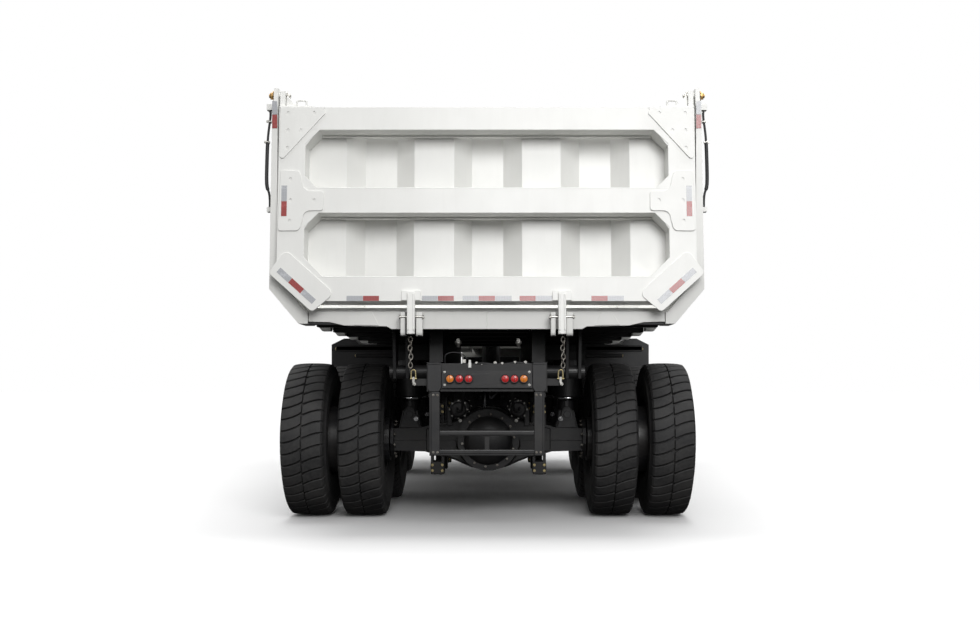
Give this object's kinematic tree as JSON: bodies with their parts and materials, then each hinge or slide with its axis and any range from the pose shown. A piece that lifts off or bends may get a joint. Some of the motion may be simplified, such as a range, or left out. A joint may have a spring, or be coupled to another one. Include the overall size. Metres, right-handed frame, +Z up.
{
  "type": "mining dump truck",
  "caption": "White and black off-road mining dump truck with an offset cab, twin rear tyres, a tipping body with a canopy and a top-hung corrugated tailgate.",
  "frame": {"origin": "on the ground under the middle of the truck's bounding box", "axes": "+Y forward along the truck, +X to its right, +Z up"},
  "size_m": [3.87, 9.0605, 4.1003],
  "materials": {
    "white_paint": "satin",
    "black_paint": "satin",
    "grey_paint": "satin",
    "tyre_rubber": "matte",
    "wheel_paint": "satin",
    "bright_steel": "polished",
    "engine_iron": "matte",
    "cab_glass": "gloss",
    "seat_fabric": "matte",
    "rope": "matte"
  },
  "bodies": {
    "chassis": {"air_cleaner": "black_paint", "boarding_ladder": "black_paint", "cab_shell": "white_paint", "driver_seat": "seat_fabric", "engine_block": "engine_iron", "engine_hood": "white_paint", "front_axle": "black_paint", "front_bumper": "grey_paint", "fuel_tank": "grey_paint", "hoist_cross_member": "black_paint", "hydraulic_tank": "grey_paint", "left_fender": "white_paint", "left_frame_rail": "black_paint", "left_handrail": "black_paint", "left_radius_rods": "black_paint", "middle_axle": "black_paint", "middle_left_strut": "grey_paint", "middle_right_strut": "grey_paint", "rear_axle": "black_paint", "rear_cross_member": "black_paint", "rear_guard": "black_paint", "rear_lamp_bar": "grey_paint", "rear_left_strut": "grey_paint", "rear_right_strut": "grey_paint", "right_fender": "white_paint", "right_frame_rail": "black_paint", "right_handrail": "black_paint", "right_radius_rods": "black_paint", "side_window": "cab_glass", "steering_console": "seat_fabric", "windscreen": "cab_glass"},
    "front_left_wheel_set": {"front_left_tyre": "tyre_rubber", "front_left_wheel": "wheel_paint"},
    "front_right_wheel_set": {"front_right_tyre": "tyre_rubber", "front_right_wheel": "wheel_paint"},
    "middle_left_wheel_set": {"middle_left_tyres": "tyre_rubber", "middle_left_hub": "wheel_paint"},
    "middle_right_wheel_set": {"middle_right_tyres": "tyre_rubber", "middle_right_hub": "wheel_paint"},
    "rear_left_wheel_set": {"rear_left_tyres": "tyre_rubber", "rear_left_hub": "wheel_paint"},
    "rear_right_wheel_set": {"rear_right_tyres": "tyre_rubber", "rear_right_hub": "wheel_paint"},
    "steering_left": {"left_knuckle": "black_paint"},
    "steering_right": {"right_knuckle": "black_paint"},
    "door": {"cab_door": "white_paint", "door_window": "cab_glass"},
    "bed": {"bed_floor": "white_paint", "bed_left_side": "white_paint", "bed_right_side": "white_paint", "bed_front_wall": "white_paint", "bed_subframe": "black_paint", "left_rope": "rope", "right_rope": "rope"},
    "tailgate": {"tailgate_frame": "white_paint", "tailgate_panel": "white_paint"},
    "hoist_cylinder": {"hoist_barrel": "black_paint"},
    "hoist_first_stage": {"hoist_stage_1": "bright_steel"},
    "hoist_second_stage": {"hoist_stage_2": "bright_steel"},
    "hoist_ram": {"hoist_rod": "bright_steel"}
  },
  "joints": [
    {"name": "middle_left_spin", "type": "hinge", "parent": "chassis", "child": "middle_left_wheel_set", "pos_m": [-1.455, -1.23, 0.745], "axis": [1, 0, 0], "continuous": true},
    {"name": "rear_left_spin", "type": "hinge", "parent": "chassis", "child": "rear_left_wheel_set", "pos_m": [-1.455, -2.78, 0.745], "axis": [1, 0, 0], "continuous": true},
    {"name": "steer_left", "type": "hinge", "parent": "chassis", "child": "steering_left", "pos_m": [-1.05, 2.42, 0.745], "axis": [0, 0, 1], "range_deg": [-32, 32]},
    {"name": "front_left_spin", "type": "hinge", "parent": "steering_left", "child": "front_left_wheel_set", "pos_m": [-1.38, 2.42, 0.745], "axis": [1, 0, 0], "continuous": true},
    {"name": "middle_right_spin", "type": "hinge", "parent": "chassis", "child": "middle_right_wheel_set", "pos_m": [1.455, -1.23, 0.745], "axis": [1, 0, 0], "continuous": true},
    {"name": "rear_right_spin", "type": "hinge", "parent": "chassis", "child": "rear_right_wheel_set", "pos_m": [1.455, -2.78, 0.745], "axis": [1, 0, 0], "continuous": true},
    {"name": "steer_right", "type": "hinge", "parent": "chassis", "child": "steering_right", "pos_m": [1.05, 2.42, 0.745], "axis": [0, 0, 1], "range_deg": [-32, 32]},
    {"name": "front_right_spin", "type": "hinge", "parent": "steering_right", "child": "front_right_wheel_set", "pos_m": [1.38, 2.42, 0.745], "axis": [1, 0, 0], "continuous": true},
    {"name": "door_swing", "type": "hinge", "parent": "chassis", "child": "door", "pos_m": [-1.637, 3.36, 2.7], "axis": [0, 0, -1], "range_deg": [0, 75]},
    {"name": "bed_tip", "type": "hinge", "parent": "chassis", "child": "bed", "pos_m": [0, -3.88, 1.39], "axis": [1, 0, 0], "range_deg": [0, 45]},
    {"name": "tailgate_swing", "type": "hinge", "parent": "bed", "child": "tailgate", "pos_m": [0, -4.24, 3.73], "axis": [-1, 0, 0], "range_deg": [0, 70]},
    {"name": "hoist_swing", "type": "hinge", "parent": "chassis", "child": "hoist_cylinder", "pos_m": [0, 1.47, 1.15], "axis": [1, 0, 0], "range_deg": [0, 27.5]},
    {"name": "hoist_slide_1", "type": "slide", "parent": "hoist_cylinder", "child": "hoist_first_stage", "axis": [0, 0, 1], "range_m": [0, 1.34]},
    {"name": "hoist_slide_2", "type": "slide", "parent": "hoist_first_stage", "child": "hoist_second_stage", "axis": [0, 0, 1], "range_m": [0, 1.34]},
    {"name": "hoist_slide_3", "type": "slide", "parent": "hoist_second_stage", "child": "hoist_ram", "axis": [0, 0, 1], "range_m": [0, 1.34]}
  ],
  "couplings": [
    {"joint": "steer_right", "follows": "steer_left", "ratio": 1},
    {"joint": "hoist_swing", "follows": "bed_tip", "ratio": 0.6044},
    {"joint": "hoist_slide_1", "follows": "bed_tip", "m_per_rad": 1.6909},
    {"joint": "hoist_slide_2", "follows": "bed_tip", "m_per_rad": 1.6909},
    {"joint": "hoist_slide_3", "follows": "bed_tip", "m_per_rad": 1.6909}
  ]
}
